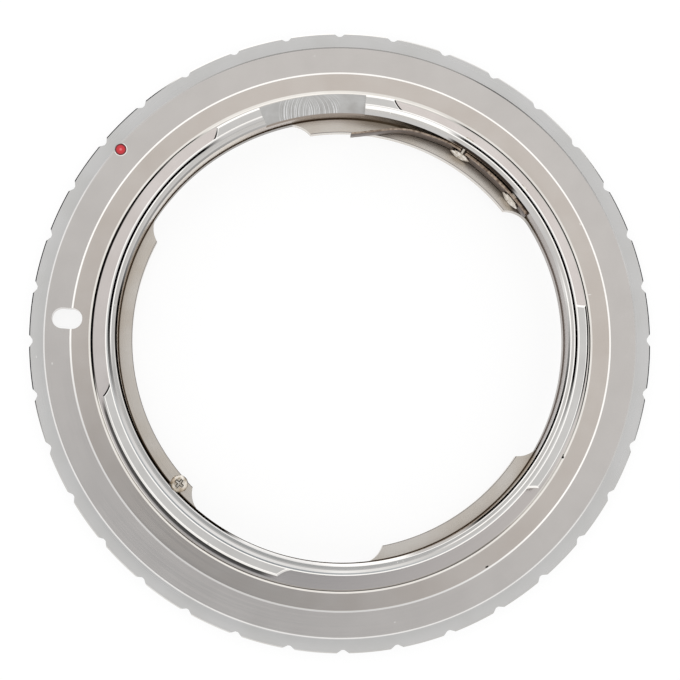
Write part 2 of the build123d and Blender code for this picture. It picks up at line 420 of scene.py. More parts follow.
# %% [markdown]
# ## Everything cut into the ring
# The mill cuts the grip notches, a flat across the top lug and the lock-pin slot, and drills make the
# dot's pocket and the screw holes. Each could be cut by itself, but many cuts in a row leave stray
# edges. So every cutter is modelled as a solid first, and all are joined and cut in one step, which
# keeps the mesh clean.

# %% Model the grip notches
NOTCHES = 36
NOTCH_PHASE = 0.3
NOTCH_DEPTH = 0.38
NOTCH_WIDTH = 1.4
NOTCH_FLOOR = 0.3
# Heights that lie well below the ring, well above its flange and well above all of it
BELOW = -1.0
ABOVE_FLANGE = 4.0
ABOVE_ALL = 9.0


def place(piece, matrix):
    """Moves a piece's mesh to its place, its object staying at the origin."""
    only(piece)
    piece.matrix_world = matrix
    bpy.ops.object.transform_apply(location=True, rotation=True, scale=False)
    return piece


def notch_cutter():
    """The grip notches as one cutter: one wedge, spun into copies."""
    inner = RIM - NOTCH_DEPTH
    outer = RIM + NOTCH_DEPTH
    half_in = NOTCH_FLOOR / 2
    half_out = NOTCH_WIDTH - NOTCH_FLOOR / 2
    corners = [(inner, -half_in), (outer, -half_out), (outer, half_out), (inner, half_in)]
    points = [Vector((x, y, BELOW)) for x, y in corners]
    piece = pencil("notches", points[0])
    line(*points)
    fill()
    raise_face(ABOVE_FLANGE - BELOW)
    bpy.ops.mesh.select_all(action="SELECT")
    copies = NOTCHES - 1
    last = 2 * math.pi * copies / NOTCHES
    bpy.ops.mesh.spin(steps=copies, dupli=True, angle=last, center=CENTRE, axis=AXIS)
    outwards()
    leave()
    return place(piece, turn_by(NOTCH_PHASE))


cutters = [notch_cutter()]
print("notch cutter", len(cutters[0].data.polygons), "faces")

# %% Model the flat and the slot
FLAT = (84.6, 110.1)
FLAT_Z = LUG_TOP - 0.5
SLOT_ANGLE = 175.6
SLOT_CENTRE = SEAT_OUT + 0.58
SLOT_LENGTH = 3.35
SLOT_WIDTH = 2.3
ROUND = 64


def flat_cutter():
    """The sector that mills the flat across the top lug and the wall."""
    first, last = FLAT
    span = last - first
    steps = round(span * PER_DEGREE)
    start = at(TAB, first, FLAT_Z)
    piece = pencil("flat", start)
    spot = line(start, at(SEAT_IN, first, FLAT_Z))
    spot = arc(spot, (0, 0, FLAT_Z), span, steps)
    spot = line(spot, at(TAB, last, FLAT_Z))
    arc(spot, (0, 0, FLAT_Z), -span, steps)
    fill()
    raise_face(ABOVE_ALL - FLAT_Z)
    leave()
    return piece


def slot_cutter():
    """The rounded bar that cuts the lock-pin slot."""
    end = (SLOT_LENGTH - SLOT_WIDTH) / 2
    side = SLOT_WIDTH / 2
    start = Vector((SLOT_CENTRE - end, -side, BELOW))
    piece = pencil("slot", start)
    spot = line(start, (SLOT_CENTRE + end, -side, BELOW))
    spot = arc(spot, (SLOT_CENTRE + end, 0, BELOW), 180, ROUND // 2)
    spot = line(spot, (SLOT_CENTRE - end, side, BELOW))
    arc(spot, (SLOT_CENTRE - end, 0, BELOW), 180, ROUND // 2)
    fill()
    raise_face(ABOVE_FLANGE - BELOW)
    leave()
    return place(piece, turn_by(SLOT_ANGLE))


cutters += [flat_cutter(), slot_cutter()]
print("flat and slot", [len(cutter.data.polygons) for cutter in cutters[1:]], "faces")

# %% Turn the drills
def turned(name, section, steps):
    """A solid of revolution about the upright axis from its half section of (radius, height)."""
    points = [Vector((radius, 0, height)) for radius, height in section]
    piece = pencil(name, points[0])
    line(*points)
    spin_round(steps)
    return piece


def drill(name, radius, low, high):
    """A plain round cutter on the upright axis."""
    return turned(name, [(0, low), (radius, low), (radius, high), (0, high)], ROUND)


def radial(radius, angle, height):
    """Frame whose Z axis points from a place on the wall to the optical axis."""
    inward = -at(1, angle)
    upward = Vector(AXIS)
    wall_axes = Matrix((upward, inward.cross(upward), inward)).transposed().to_4x4()
    return Matrix.Translation(at(radius, angle, height)) @ wall_axes


# %% Model the pocket and the holes
DOT_ANGLE = 139.2
DOT_CENTRE = FACE - 0.5
DOT_RADIUS = 0.65
DOT_DEPTH = 0.3
POCKET_EDGE = 0.12
POCKET_BREAK = (-0.045, 0.03)
STOP_ANGLE = 221.7
STOP_CENTRE = TAB + 0.8
STOP_SHANK = 0.5
STOP_HEAD = 0.95
SCREW_ANGLES = (39.8, 57.5)
SCREW_RADIUS = 0.7
SCREW_ROOM = 0.02
HEAD_ROOM = 0.1
STRIP_Z = 4.45
# The strip screws' holes start inside the bore and run out through the wall
HOLE_START = BORE - 0.4
HOLE_RUN = (-2.6, 0.8)

pocket_low, pocket_high = [FACE_Z + step for step in POCKET_BREAK]
pocket = [
    (0, GRIP_Z - DOT_DEPTH),
    (DOT_RADIUS, GRIP_Z - DOT_DEPTH),
    (DOT_RADIUS, pocket_low),
    (DOT_RADIUS + POCKET_EDGE, pocket_high),
    (DOT_RADIUS + POCKET_EDGE, ABOVE_FLANGE),
    (0, ABOVE_FLANGE),
]
stop_hole = [
    (0, BELOW),
    (STOP_SHANK + SCREW_ROOM, BELOW),
    (STOP_SHANK + SCREW_ROOM, TAB_TOP),
    (STOP_HEAD + HEAD_ROOM, TAB_TOP),
    (STOP_HEAD + HEAD_ROOM, ABOVE_ALL),
    (0, ABOVE_ALL),
]
dot_spot = Matrix.Translation(at(DOT_CENTRE, DOT_ANGLE))
stop_spot = Matrix.Translation(at(STOP_CENTRE, STOP_ANGLE))
cutters.append(place(turned("pocket", pocket, ROUND), dot_spot))
cutters.append(place(turned("stop_hole", stop_hole, ROUND), stop_spot))
for index, angle in enumerate(SCREW_ANGLES):
    hole = drill(f"hole_{index}", SCREW_RADIUS + SCREW_ROOM, *HOLE_RUN)
    cutters.append(place(hole, radial(HOLE_START, angle, STRIP_Z)))
print("cutters", [cutter.name for cutter in cutters])

# %% [markdown]
# ## Nicks
# The ring has been used. A nick could be painted on as bump, but then it would be lost in the mesh. It
# is a shallow dent, so its cutter is the cap of a ball that only dips into the metal, stretched along
# the scratch. Two nicks are small deep pits that hold dirt.

# %% Model the nicks
BALL_STEPS = 48
PIT_DEPTH = 0.1
NICKS = [
    # angle, radius, surface height, half length round the axis, half length along the radius, depth
    (302.7, 29.5, SEAT_Z, 0.2, 0.09, 0.14),
    (332.3, 27.55, SEAT_Z - 0.1, 0.14, 0.14, 0.14),
    (10.7, 27.95, SEAT_Z, 0.05, 0.22, 0.02),
    (26.2, 29.5, SEAT_Z, 0.1, 0.08, 0.03),
    (183.3, 33.5, GRIP_Z, 0.14, 0.07, 0.03),
    (184.8, 31.8, FACE_Z, 0.12, 0.06, 0.02),
    (95.4, 31.8, FACE_Z, 0.08, 0.06, 0.012),
    (280.7, 31.4, FACE_Z, 0.06, 0.06, 0.012),
    (236.9, 26.75, LUG_TOP - 0.1, 0.16, 0.12, 0.06),
    (283.4, 25.1, WALL_TOP, 0.05, 0.12, 0.03),
    (284.8, 25.1, WALL_TOP, 0.05, 0.12, 0.03),
    (78.3, 25.0, WALL_TOP, 0.06, 0.1, 0.03),
    (172.4, 24.95, WALL_TOP, 0.12, 0.06, 0.03),
    (174.3, 24.92, WALL_TOP, 0.08, 0.05, 0.03),
    (158.0, 27.1, GROOVE_Z, 0.12, 0.06, 0.03),
]
PITS = [row for row in NICKS if row[-1] > PIT_DEPTH]


def nick(index, angle, radius, height, around, along, depth):
    """A stretched ball that dips into the surface by the depth."""
    ball = (along**2 + depth**2) / (2 * depth)
    bpy.ops.object.select_all(action="DESELECT")
    bpy.ops.mesh.primitive_uv_sphere_add(segments=BALL_STEPS, ring_count=BALL_STEPS, radius=ball)
    piece = bpy.context.object
    piece.name = f"nick_{index}"
    piece.scale = (1, around / along, 1)
    bpy.ops.object.transform_apply(location=False, rotation=False, scale=True)
    spot = Matrix.Translation(at(radius, angle, height + ball - depth))
    return place(piece, spot @ turn_by(angle))


cutters += [nick(index, *row) for index, row in enumerate(NICKS)]
print("nicks", len(NICKS), "of them pits", len(PITS))

# %% Cut and finish the ring
CREASE = 35
RING_CREASE = 9


def to_metres(piece, crease=CREASE):
    """Brings a finished piece to metres and smooths its curves between real edges."""
    only(piece)
    piece.scale = (MM, MM, MM)
    bpy.ops.object.transform_apply(location=False, rotation=False, scale=True)
    bpy.ops.object.shade_smooth_by_angle(angle=math.radians(crease))
    print(piece.name, len(piece.data.polygons), "faces")


combine(ring, join(cutters), "DIFFERENCE")
only(ring)
bpy.ops.object.mode_set(mode="EDIT")
outwards()
bpy.ops.mesh.delete_loose()
leave()
to_metres(ring, RING_CREASE)

# %% [markdown]
# ## Keeper strip and spring leaf
# Both strips are cut from thin spring stock. The keeper bows slightly off the wall between its
# screws. The leaf follows the wall for a short foot, lifts off it and bends inwards, where it presses
# on the lens. A bent strip could be a flat one with a deforming modifier, but then its radii would be
# hard to set. It is drawn in plan as lines and arcs, pulled up to its height, rounded at its corners
# and given its thickness, which leaves the bends smooth.

# %% From a path in plan to a strip
STRIP_LOW = 3.2
STRIP_HEIGHT = 2.5
STRIP_GAP = 0.05
STRIP_CORNER = 0.5
CORNER_STEPS = 6
STRIP_EDGE = 0.03
EDGE_STEPS = 2
EDGE_ANGLE = 50
HOLE_REACH = 2.0


def strip(piece, thickness, ends, hole_angles):
    """Turns a path in plan into a strip with rounded corners at the given ends, and drills it."""
    bpy.ops.mesh.select_all(action="SELECT")
    bpy.ops.mesh.extrude_region_move(TRANSFORM_OT_translate={"value": (0, 0, STRIP_HEIGHT)})
    mesh = bmesh.from_edit_mesh(piece.data)
    bpy.ops.mesh.select_all(action="DESELECT")
    for vertex in mesh.verts:
        vertex.select_set(any((vertex.co - end).to_2d().length < FINE for end in ends))
    bmesh.update_edit_mesh(piece.data)
    bpy.ops.mesh.bevel(offset=STRIP_CORNER, segments=CORNER_STEPS, affect="VERTICES")
    leave()
    wall = piece.modifiers.new("thickness", "SOLIDIFY")
    wall.thickness = thickness
    wall.offset = 0
    bpy.ops.object.modifier_apply(modifier=wall.name)
    holes = []
    for angle in hole_angles:
        hole = drill(f"{piece.name}_hole_{angle}", SCREW_RADIUS + HEAD_ROOM, -HOLE_REACH, HOLE_REACH)
        holes.append(place(hole, radial(BORE, angle, STRIP_Z)))
    combine(piece, join(holes), "DIFFERENCE")
    edges = piece.modifiers.new("strip edge bevel", "BEVEL")
    edges.width = STRIP_EDGE
    edges.segments = EDGE_STEPS
    edges.limit_method = "ANGLE"
    edges.angle_limit = math.radians(EDGE_ANGLE)
    bpy.ops.object.modifier_apply(modifier=edges.name)
    to_metres(piece)


# %% Model the keeper strip
KEEPER = (34.0, 56.9)
KEEPER_BOW = 0.1
KEEPER_THICK = 0.3
KEEPER_STEPS = 60
END_RUN = 0.6


def circle_centre(first, middle, last):
    """Centre of the circle through three points of a plan, the second midway."""
    chord = last - first
    rise = (middle - (first + last) / 2).length
    radius = (chord.length**2 / 4 + rise**2) / (2 * rise)
    inward = ((first + last) / 2 - middle).normalized()
    return middle + inward * radius


def keeper_strip():
    """The stiff strip under both screws, with a short straight run at each end."""
    radius = BORE - STRIP_GAP - KEEPER_THICK / 2
    middle = at(radius - KEEPER_BOW, sum(KEEPER) / 2, STRIP_LOW)
    ends = [at(radius, angle, STRIP_LOW) for angle in KEEPER]
    centre = circle_centre(ends[0], middle, ends[1])
    sweep = math.degrees((ends[0] - centre).angle(ends[1] - centre))
    end_turn = math.degrees(END_RUN / (middle - centre).length)
    piece = pencil("keeper", ends[0])
    spot = line(ends[0], centre + turn_by(end_turn, 3) @ (ends[0] - centre))
    spot = arc(spot, centre, sweep - 2 * end_turn, KEEPER_STEPS)
    line(spot, ends[1])
    strip(piece, KEEPER_THICK, ends, SCREW_ANGLES)
    return piece


keeper = keeper_strip()

# %% Model the spring leaf
LEAF_START = 57.7
LEAF_THICK = 0.2
LEAF_RADIUS = BORE - STRIP_GAP - LEAF_THICK / 2
LEAF_FOOT = 2.8
LEAF_BENDS = [
    # radius, turn in degrees, steps: the lift off the wall, the run along it, the bend inwards
    (8.0, 7.0, 8),
    (LEAF_RADIUS, 7.0, 16),
    (9.0, 22.0, 24),
]
FOOT_STEPS = 6
TIP_STEPS = 4
TIP_STEP = 1.0


def leaf_spring():
    """The springy leaf, from its foot at the second screw to its straight tip."""
    start = at(LEAF_RADIUS, LEAF_START, STRIP_LOW)
    end_turn = math.degrees(END_RUN / LEAF_RADIUS)
    heading = LEAF_START + 90 + end_turn
    piece = pencil("leaf", start)
    spot = line(start, at(LEAF_RADIUS, LEAF_START + end_turn, STRIP_LOW))
    for radius, bend, steps in [(LEAF_RADIUS, LEAF_FOOT - end_turn, FOOT_STEPS), *LEAF_BENDS]:
        centre = spot + radius * at(1, heading + 90)
        spot = arc(spot, centre, bend, steps)
        heading += bend
    for _ in range(TIP_STEPS):
        spot = line(spot, spot + at(TIP_STEP, heading))
    strip(piece, LEAF_THICK, [start], SCREW_ANGLES[1:])
    return piece


leaf = leaf_spring()

# %% [markdown]
# ## Screws
# Three cross-head screws: two hold the strips from inside the bore, and one stands on the largest tab
# to stop the lens. A screw could be a cylinder with a bevelled head, but a lathe gives the dome and
# the pointed shank in one pass. So it is turned from a half section, and a tapered cross is cut in.

# %% One screw
DOME_STEPS = 7
HEAD_BREAK = 0.03
# Shares of the shank's radius and of the head's height
POINT_SHARE = 0.33
RIM_SHARE = 0.33
# The cross as shares of the head's radius, its floor as a share of the head's height
CROSS_SPAN = 1.24
CROSS_WIDTH = 0.5
CROSS_TAPER = 0.15
CROSS_FLOOR = 0.3
CROSS_ABOVE = 0.2


def dome(head, edge, height):
    """Points of a domed head from its edge to the axis."""
    rise = height - edge
    radius = (head**2 + rise**2) / (2 * rise)
    full = math.asin(head / radius)
    angles = [full * (DOME_STEPS - index) / DOME_STEPS for index in range(DOME_STEPS + 1)]
    return [(radius * math.sin(angle), height - radius * (1 - math.cos(angle))) for angle in angles]


def cross_cutter(name, head, low, high):
    """A cross-shaped cutter whose sides all come in by the taper on the way down."""
    reach = head * CROSS_SPAN / 2
    side = head * CROSS_WIDTH / 2
    arm = [Vector((reach, -side, high)), Vector((reach, side, high)), Vector((side, side, high))]
    points = [turn_by(90 * quarter, 3) @ point for quarter in range(4) for point in arm]
    piece = pencil(name, points[0])
    line(*points)
    fill()
    bpy.ops.mesh.extrude_region_move(TRANSFORM_OT_translate={"value": (0, 0, low - high)})
    mesh = bmesh.from_edit_mesh(piece.data)
    taper = head * CROSS_TAPER
    for vertex in mesh.verts:
        if vertex.co.z < high - FINE:
            vertex.co.x -= math.copysign(taper, vertex.co.x)
            vertex.co.y -= math.copysign(taper, vertex.co.y)
    bmesh.update_edit_mesh(piece.data)
    outwards()
    leave()
    return piece


def screw(name, length, shank, head, height):
    """A cross-head screw that stands on its head's underside, the shank running down."""
    point = shank * POINT_SHARE
    section = [(0, -length), (shank - point, -length), (shank, point - length), (shank, 0)]
    section += [(head - HEAD_BREAK, 0), (head, HEAD_BREAK)]
    section += dome(head, height * RIM_SHARE, height)
    piece = turned(name, section, ROUND)
    cutter = cross_cutter(name + "_cross", head, height * CROSS_FLOOR, height + CROSS_ABOVE)
    combine(piece, cutter, "DIFFERENCE")
    return piece


# %% Model the screws
STRIP_HEAD = 1.2
STRIP_HEAD_HEIGHT = 0.4
STRIP_SEATS = (24.007, 24.066)
STRIP_SCREW_END = WALL + 0.3
STOP_LENGTH = 1.5
STOP_HEAD_HEIGHT = 0.6
STOP_CROSS_TURN = 8

pair = []
for index, (angle, seat) in enumerate(zip(SCREW_ANGLES, STRIP_SEATS)):
    length = STRIP_SCREW_END - seat
    made = screw(f"strip_screw_{index}", length, SCREW_RADIUS, STRIP_HEAD, STRIP_HEAD_HEIGHT)
    pair.append(place(made, radial(seat, angle, STRIP_Z)))
strip_screws = join(pair)
strip_screws.name = "strip_screw_pair"
to_metres(strip_screws)
stop_seat = Matrix.Translation(at(STOP_CENTRE, STOP_ANGLE, TAB_TOP)) @ turn_by(STOP_ANGLE + STOP_CROSS_TURN)
stop = place(screw("stop", STOP_LENGTH, STOP_SHANK, STOP_HEAD, STOP_HEAD_HEIGHT), stop_seat)
to_metres(stop)

# %% [markdown]
# ## The index dot
# A drop of red enamel fills a drilled pocket at the edge of the flange and stands slightly proud of
# it. A flattened ball would touch the pocket only on a line, so the dot is turned like the screws,
# from a half section that fills the pocket and ends in a dome.

# %% Model the dot
DOT_ROOM = 0.02
DOT_BREAK = 0.03
DOT_CROWN = 0.1
DOT_STEPS = 48
DOT_CREASE = 60
dot_edge = DOT_RADIUS - DOT_ROOM
dot_section = [(0, 0), (dot_edge - DOT_BREAK, 0), (dot_edge, DOT_BREAK)]
dot_section += dome(dot_edge, DOT_DEPTH, DOT_DEPTH + DOT_CROWN)
dot = turned("dot", dot_section, DOT_STEPS)
dot = place(dot, Matrix.Translation(at(DOT_CENTRE, DOT_ANGLE, GRIP_Z - DOT_DEPTH)))
to_metres(dot, DOT_CREASE)

# %% [markdown]
# ## Bodies
# Every piece but the leaf moves with a body of the frame, the adapter, and stands for one of its nodes.
# The leaf could ride on its hinge as a stiff piece, but the real one is clamped under its screw. Here
# it is only fixed in place, and the frame's leaf is hidden.

# %% Hang the pieces on the adapter, and fix the leaf in place
SEATING = [
    (ring, "adapter", "body_ring", "plated_ring"),
    (keeper, "adapter", "keeper_strip", "spring_bronze"),
    (strip_screws, "adapter", "strip_screws", "plated_screws"),
    (stop, "adapter", "stop_screw", "plated_screws"),
    (dot, "adapter", "index_dot", "red_enamel"),
]
for piece, body, node, slot in SEATING:
    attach(piece, body)
    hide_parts(node)
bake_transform(leaf)
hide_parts("leaf_spring")
print("pieces", [row[0].name for row in SEATING] + [leaf.name])

# %% [markdown]
# ## The plated finish
# The ring is brass, turned and milled, then plated with nickel and chrome. Plated metal has little
# colour of its own, so a finish is mostly how sharply it mirrors the room: a turned face has fine
# rings that blur it, a cut chamfer is almost a mirror, and a milled flat shows the cutter's path. One
# function makes them all, because they differ only in tone, polish, rings, marks and painted shade.
# Colours are sRGB codes, and pattern sizes are millimetres.

# %% Colours and nodes
def linear(code):
    """Linear colour of an sRGB hex code."""
    values = [int(code[start:start + 2], 16) / 255 for start in (1, 3, 5)]
    return [v / 12.92 if v <= 0.04045 else ((v + 0.055) / 1.055) ** 2.4 for v in values] + [1.0]


def add(tree, kind, inputs=None, stops=(), **settings):
    """Adds a node with its settings and colour stops, sets or links its inputs, gives its outputs."""
    made = tree.nodes.new(kind)
    for name, value in settings.items():
        setattr(made, name, value)
    for socket, value in (inputs or {}).items():
        if isinstance(value, bpy.types.NodeSocket):
            tree.links.new(value, made.inputs[socket])
        else:
            made.inputs[socket].default_value = value
    if stops:
        points = made.color_ramp.elements
        for spot, colour in stops[2:]:
            points.new(spot)
        for point, (spot, colour) in zip(points, stops):
            point.position = spot
            point.color = colour
    return made.outputs


def new_material(name):
    """A material with an empty node tree."""
    material = bpy.data.materials.new(name)
    material.use_nodes = True
    material.node_tree.nodes.clear()
    return material


# %% [markdown]
# ## Stains and painted shade
# Years of use left a brown film on the bore. The other marks here are painted shade: a dark line in
# the corner of bore and tabs, shade on the tabs under the strips, a lug's shadow on the groove, black
# lines along the groove at the left, and mirror edges drawn darker on some sides. A few are plain
# greyer tones. They could be painted on an image, but each mark here has a simple place: a band of
# radius or height and a sector of the ring. So each is a row with its bands, its sector, how much it
# covers and its colour, and one function lays a list of rows over a tone.

# %% Lay marks and painted shade over a tone
def ring_place(tree):
    """Where a point lies on the ring: its radius, direction round the axis, x, y and height."""
    point = add(tree, "ShaderNodeTexCoord")["Object"]
    level = add(tree, "ShaderNodeVectorMath", {0: point, 1: (1, 1, 0)}, operation="MULTIPLY")[0]
    axes = add(tree, "ShaderNodeSeparateXYZ", {0: point})
    return {
        "point": point,
        "radius": add(tree, "ShaderNodeVectorMath", {0: level}, operation="LENGTH")["Value"],
        "around": add(tree, "ShaderNodeVectorMath", {0: level}, operation="NORMALIZE")[0],
        "x": axes["X"],
        "y": axes["Y"],
        "height": axes["Z"],
    }


def cover(tree, tone, code, share, bands):
    """Covers a share of a tone with a colour, inside bands of (value, none here, full here)."""
    for value, none, full in bands:
        limits = {"Value": value, "From Min": none, "From Max": full}
        band = add(tree, "ShaderNodeMapRange", limits, interpolation_type="SMOOTHSTEP")[0]
        share = add(tree, "ShaderNodeMath", {0: band, 1: share}, operation="MULTIPLY")[0]
    return add(tree, "ShaderNodeMix", {0: share, 6: tone, 7: linear(code)}, data_type="RGBA")[2]


def stained_and_shaded(tree, tone, spot, stains_and_shade):
    """Lays real marks and painted shade over a tone, each with its bands, its sector, its share and its
    colour.
    """
    for places, sector_of, share, code in stains_and_shade:
        bands = [(spot[measure], none * MM, full * MM) for measure, none, full in places]
        if sector_of:
            angle, half, soft = sector_of
            sides = {0: spot["around"], 1: at(1, angle)}
            close = add(tree, "ShaderNodeVectorMath", sides, operation="DOT_PRODUCT")["Value"]
            bands.append((close, math.cos(math.radians(half + soft)), math.cos(math.radians(half))))
        tone = cover(tree, tone, code, share, bands)
    return tone


# %% Stains and painted shade inside the ring
# A row holds bands (measure, none here, full here) in millimetres, a sector (middle, half, soft edge)
# in degrees, the share that it covers and its colour
TAB_STAINS_AND_SHADE = [
    # Painted shade as a dark line in the corner of bore and tabs, brown film at the right, painted shade on
    # the tabs under the strips, and a darker grey upper part of the free edge
    ([("radius", 24.3, 24.4), ("height", 3.2, 2.95)], None, 1.0, "#463829"),
    ([], (1, 27, 3), 1.0, "#8C817A"),
    ([("radius", 23.2, 24.1)], (57, 22, 14), 0.55, "#6E6250"),
    ([("radius", TAB + 0.1, TAB + 0.03), ("height", TAB_TOP - 0.12, TAB_TOP - 0.04)], None, 1.0, "#8E8884"),
]
BORE_STAINS = [
    # Brown film under the flat, at the lower right, at the left, at the right and by the keeper's end
    ([], (96, 14, 10), 0.7, "#8C7665"),
    ([], (302, 9, 4), 0.6, "#8A6A55"),
    ([], (172, 14, 8), 0.5, "#94795C"),
    ([], (1, 29, 6), 1.0, "#8C817A"),
    ([], (32, 6, 8), 0.7, "#76675C"),
]
AT_BORE = ("radius", 24.78, 24.72)
AT_LIP = ("radius", 25.6, 25.54)
CUT_PAINTED_SHADE = [
    # Painted shade: a darker lip and lip top at the lower left, and a darker lip top above the bore
    ([AT_LIP], (225, 34, 12), 1.0, "#D2D0CE"),
    ([("radius", 25.06, 25.1), ("radius", 25.26, 25.22)], (240, 50, 12), 1.0, "#A8A6A4"),
    ([AT_LIP, ("radius", 25.0, 25.05)], (118, 10, 8), 1.0, "#A8A6A4"),
    # Painted shade: a darker outer bevel of the seat at the lower left
    ([("radius", 29.5, 29.6), ("radius", 30.0, 29.9)], (246, 42, 32), 1.0, "#CFCDCB"),
    # Painted shade on the bore's edge: darker above, at the lower right and left, and dark behind the strips
    ([("radius", 24.95, 24.9)], (100, 78, 12), 1.0, "#B4B2B0"),
    ([AT_BORE], (302, 12, 6), 1.0, "#A8A4A0"),
    ([AT_BORE], (196, 24, 8), 1.0, "#5A544E"),
    ([AT_BORE], (51, 9, 3), 1.0, "#2E2722"),
]
print("stains inside", len(TAB_STAINS_AND_SHADE + BORE_STAINS + CUT_PAINTED_SHADE))

# %% Painted shade and tone round the groove and the grip band
GROOVE_PAINTED_SHADE = [
    # Painted shade: darker towards the bottom, the lug's shadow beside the lower left lug, and a black line
    # along the seat at the left
    ([], (292, 30, 14), 1.0, "#D0C9C5"),
    ([("radius", 27.24, 27.08)], (224, 26, 5), 1.0, "#6A6764"),
    ([("radius", 27.24, 27.32)], (170, 14, 14), 1.0, "#141312"),
]
SIDE_PAINTED_SHADE = [
    # Painted shade: darker towards the bottom, and the same black line
    ([], (268, 36, 14), 1.0, "#A8A4A0"),
    ([], (163, 24, 8), 1.0, "#141312"),
]
LINE_TONE_AND_SHADE = [
    # Greyer at two places, and painted shade at the top
    ([], (128, 10, 14), 1.0, "#B4B2B0"),
    ([], (350, 14, 14), 1.0, "#B4B2B0"),
    ([], (84, 20, 22), 1.0, "#8A8886"),
]
print("stains outside", len(GROOVE_PAINTED_SHADE + SIDE_PAINTED_SHADE + LINE_TONE_AND_SHADE))

# %% [markdown]
# ## Marks of the end mill
# The flat shows two sets of arcs, left by the leading and the trailing side of the cutter as it went
# along. They are too fine for the mesh. Rings round one point would all share that point, but each
# mark is the same arc moved along the flat. So a point is first moved back along its arc to the line
# that the cutter's middle followed, and a noise along that line gives the marks.

# %% Milled arcs
MILL_LINE = 24.75
# The real feed is finer than the picture shows, so the marks are drawn this far apart
MILL_PITCH = 0.42
MILL_FADE = 2.0
MILL_FAINT = 0.3
MILL_PASSES = [
    # side of the cutter that left the marks, its radius, first and last place along the flat
    (-1, 3.3, -6.7, -3.9),
    (1, 2.2, -3.6, -0.6),
]
MILL_ENDS = (0.5, 0.4)
MILL_TONES = [
    # noise value where a mark starts, where it is full, how strong it is, its colour
    (0.48, 0.38, 0.6, "#9C9A98"),
    (0.55, 0.63, 1.0, "#FDFDFD"),
]
RUBBED = [([("radius", 24.76, 24.66)], None, 1.0, "#A2968C")]


def mill_marks(tree, tone, spot):
    """Arcs that the end mill's two sides left on its way along the flat, and the rubbed inner edge."""
    across = add(tree, "ShaderNodeMath", {0: spot["y"], 1: -MILL_LINE * MM}, operation="ADD")[0]
    square = add(tree, "ShaderNodeMath", {0: across, 1: across}, operation="MULTIPLY")[0]
    for side, radius, first, last in MILL_PASSES:
        chord = add(tree, "ShaderNodeMath", {0: (radius * MM) ** 2, 1: square}, operation="SUBTRACT")[0]
        reach = add(tree, "ShaderNodeMath", {0: chord}, operation="SQRT")[0]
        middle = add(tree, "ShaderNodeMath", {0: reach, 1: -side, 2: spot["x"]}, operation="MULTIPLY_ADD")[0]
        turns = add(tree, "ShaderNodeMath", {0: middle, 1: 1 / (MILL_PITCH * MM)}, operation="MULTIPLY")[0]
        marks = add(tree, "ShaderNodeTexNoise", {"W": turns, "Detail": 1.5}, noise_dimensions="1D")[0]
        stretch = [
            (spot["x"], (first - MILL_ENDS[0]) * MM, first * MM),
            (spot["x"], (last + MILL_ENDS[1]) * MM, last * MM),
        ]
        for none, full, strength, code in MILL_TONES:
            limits = {"Value": across, "From Min": MILL_FADE * MM, "From Max": 0.0}
            limits |= {"To Min": MILL_FAINT * strength, "To Max": strength}
            fade = add(tree, "ShaderNodeMapRange", limits, interpolation_type="SMOOTHSTEP")[0]
            tone = cover(tree, tone, code, fade, [*stretch, (marks, none, full)])
    return stained_and_shaded(tree, tone, spot, RUBBED)


# %% The plating
# Handling patches, and how their noise runs from dull to bright
PATCH = 4.0
PATCH_RANGE = (0.3, 0.65)
RING_RANGE = (0.3, 0.7)
RING_WANDER = 2
GLOSS_SPREAD = 0.1


def plating(name, bright, dull, roughness, pitch, height, patch=PATCH, stains_and_shade=(), marks=None):
    """Nickel-chrome plate: rings of a pitch and height in millimetres round the axis, faint patches.

    The feed of a lathe is about 0.05 mm, too fine to show, so the rings are drawn coarser.
    """
    material = new_material(name)
    tree = material.node_tree
    spot = ring_place(tree)
    out_and_up = add(tree, "ShaderNodeMath", {0: spot["radius"], 1: spot["height"]}, operation="ADD")[0]
    count = add(tree, "ShaderNodeMath", {0: out_and_up, 1: 1 / (pitch * MM)}, operation="MULTIPLY")[0]
    step = add(tree, "ShaderNodeCombineXYZ", {"X": count})[0]
    wander = {0: spot["around"], 1: (RING_WANDER, RING_WANDER, RING_WANDER), 2: step}
    sweep = add(tree, "ShaderNodeVectorMath", wander, operation="MULTIPLY_ADD")[0]
    rings = add(tree, "ShaderNodeTexNoise", {"Vector": sweep, "Scale": 1.0, "Detail": 2.0})[0]
    grain = {"Vector": spot["point"], "Scale": 1 / (patch * MM), "Detail": 3.0}
    patches = add(tree, "ShaderNodeTexNoise", grain)[0]
    tones = list(zip(PATCH_RANGE, (linear(dull), linear(bright))))
    tone = add(tree, "ShaderNodeValToRGB", {0: patches}, tones)[0]
    tone = stained_and_shaded(tree, tone, spot, stains_and_shade)
    if marks:
        tone = marks(tree, tone, spot)
    limits = {"Value": rings, "From Min": RING_RANGE[0], "From Max": RING_RANGE[1]}
    limits |= {"To Min": roughness * (1 - GLOSS_SPREAD), "To Max": roughness * (1 + GLOSS_SPREAD)}
    gloss = add(tree, "ShaderNodeMapRange", limits, interpolation_type="SMOOTHSTEP")[0]
    relief = {"Height": rings, "Strength": 1.0, "Distance": height * MM}
    bump = add(tree, "ShaderNodeBump", relief)[0]
    surface = {"Base Color": tone, "Metallic": 1.0, "Roughness": gloss, "Normal": bump}
    metal = add(tree, "ShaderNodeBsdfPrincipled", surface)[0]
    add(tree, "ShaderNodeOutputMaterial", {"Surface": metal})
    return material


